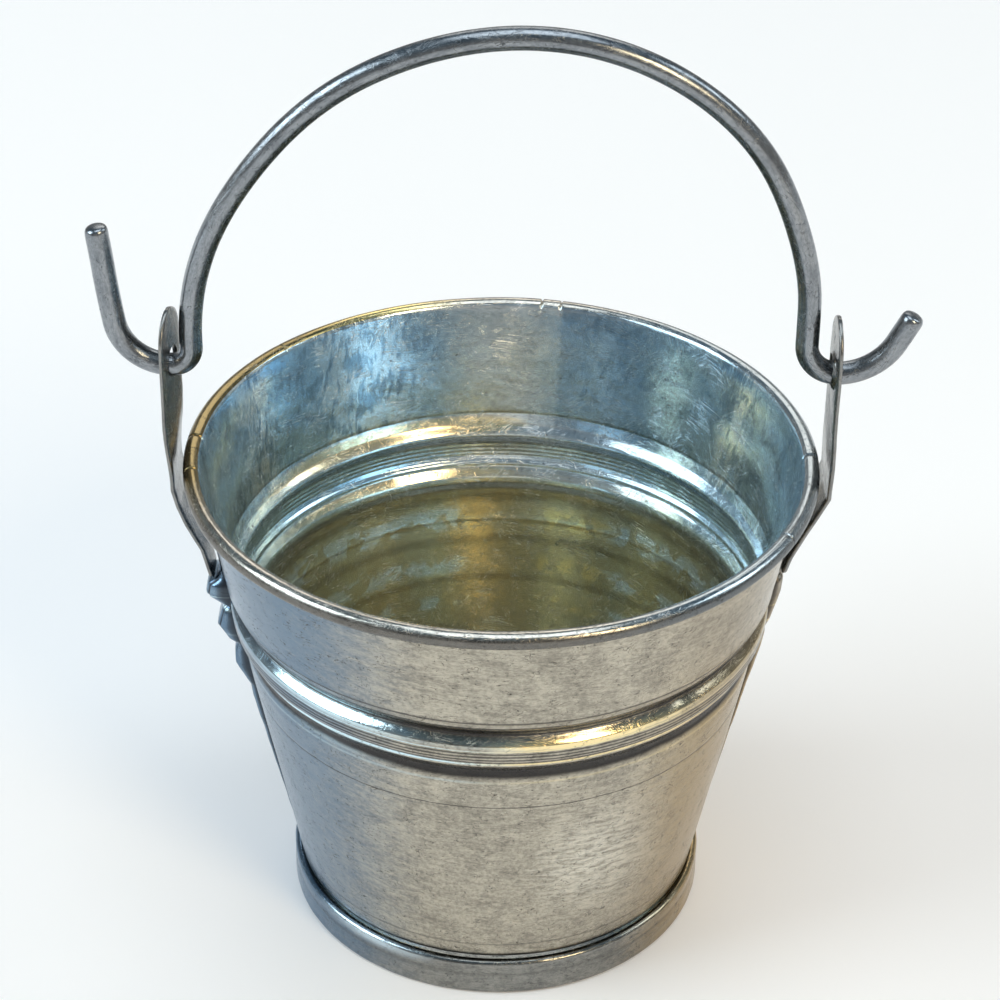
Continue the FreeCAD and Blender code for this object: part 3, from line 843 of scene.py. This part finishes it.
wire_zinc = zinc("wire_zinc", (0.35, 0.37, 0.39), (0.18, 0.195, 0.215), 0.28, cells=0.8, scratch=0.7,
                 wavy=0.5)

# ---- the pail ---------------------------------------------------------------
half_wall("front_half", -89.9, 89.9, ["front_wall"])
half_wall("back_half", 90.1, 269.9, ["back_wall"])
seam("left", -math.pi / 2, 1, cover_left)
seam("right", math.pi / 2, -1, cover_right)
bottom_pan()
strap("left_strap", -1, math.radians(18), 36.9, 1.75, 0.0, ["left_ear"])
strap("right_strap", 1, math.radians(8), 38.4, 1.0, 0.8, ["right_ear"])
burr("right_burr", 1)
bail()

# ---- floor, light and camera ------------------------------------------------
pale = Finish(bpy.data.materials.new("pale_floor"))
ray = pale.add("LightPath", output="Is Camera Ray")
glossy = pale.add("LightPath", output="Is Glossy Ray")
through = pale.add("LightPath", output="Is Transmission Ray")
seen = pale.step(ray + glossy + through, 0.0, 1.0)
paint = pale.add("BsdfDiffuse", None, {"Color": tint(0.915, 0.885, 0.873)})
glow = pale.add("Emission", None, {"Color": tint(1, 1, 1), "Strength": seen * 0.11})
pale.add("OutputMaterial", None, {"Surface": pale.add("AddShader", None, {0: paint, 1: glow})})
bpy.ops.mesh.primitive_plane_add(size=6)
floor = bpy.context.object
floor.name = "floor"
floor.data.materials.append(pale.owner)

bpy.context.scene.world = bpy.data.worlds.new("studio")
sky = Finish(bpy.context.scene.world)
upwards = sky.part(sky.add("TexCoord", output="Generated"), "Z")
daylight = sky.add("ValToRGB", {"stops": [(0.0, tint(0.62, 0.60, 0.56)), (0.75, tint(0.20, 0.30, 0.38))]},
                   {0: upwards})
background = sky.add("Background", None, {"Color": daylight, "Strength": 0.6})
sky.add("OutputWorld", None, {"Surface": background})

aim = Vector((0, 0, 0.035))


def softbox(name, azimuth, elevation, distance, wide, tall, power, colour):
    """A soft light that looks at the pail; azimuth 0 is in front, 90 on the right."""
    lamp = bpy.data.lights.new(name, "AREA")
    lamp.shape = "RECTANGLE"
    lamp.size, lamp.size_y = wide, tall
    lamp.energy = power
    lamp.color = colour
    made = bpy.data.objects.new(name, lamp)
    bpy.context.scene.collection.objects.link(made)
    a, e = math.radians(azimuth), math.radians(elevation)
    back = Vector((math.sin(a) * math.cos(e), -math.cos(a) * math.cos(e), math.sin(e)))
    made.location = aim + back * distance
    made.rotation_mode = "QUATERNION"
    made.rotation_quaternion = back.to_track_quat("Z", "Y")
    return made


softbox("cool_window", -78, 33, 1.1, 0.7, 0.62, 7.0, (0.80, 0.93, 1.0))
softbox("warm_lamp", 38, 34, 1.0, 0.26, 0.4, 3.2, (1.0, 0.80, 0.50))
softbox("overhead", 10, 84, 1.2, 0.8, 0.8, 4.5, (0.86, 0.94, 1.0))
softbox("right_fill", 100, 38, 1.1, 0.35, 0.5, 1.8, (0.85, 0.95, 1.0))
softbox("back_fill", 175, 40, 1.2, 0.9, 0.5, 2.2, (1.0, 0.95, 0.88))

camera_data = bpy.data.cameras.new("camera")
camera_data.lens = 108.75
camera_data.sensor_width = 36
camera_data.shift_x = 0.0148
camera_data.shift_y = 0.0652
camera_data.clip_start, camera_data.clip_end = 0.01, 20
camera = bpy.data.objects.new("camera", camera_data)
bpy.context.scene.collection.objects.link(camera)
elevation = math.radians(34.64)
target = Vector((0, 0, 0.75 * rim_height * MM))
camera_distance = 10 * rim_radius * MM
camera.location = target + Vector((0, -math.cos(elevation), math.sin(elevation))) * camera_distance
look = (Matrix.Rotation(math.pi / 2 - elevation, 4, "X") @ Matrix.Rotation(math.radians(0.277), 4, "Y")
        @ Matrix.Rotation(math.radians(0.808), 4, "Z"))
camera.rotation_euler = look.to_euler()
bpy.context.scene.camera = camera
bpy.context.scene.view_settings.view_transform = "Standard"
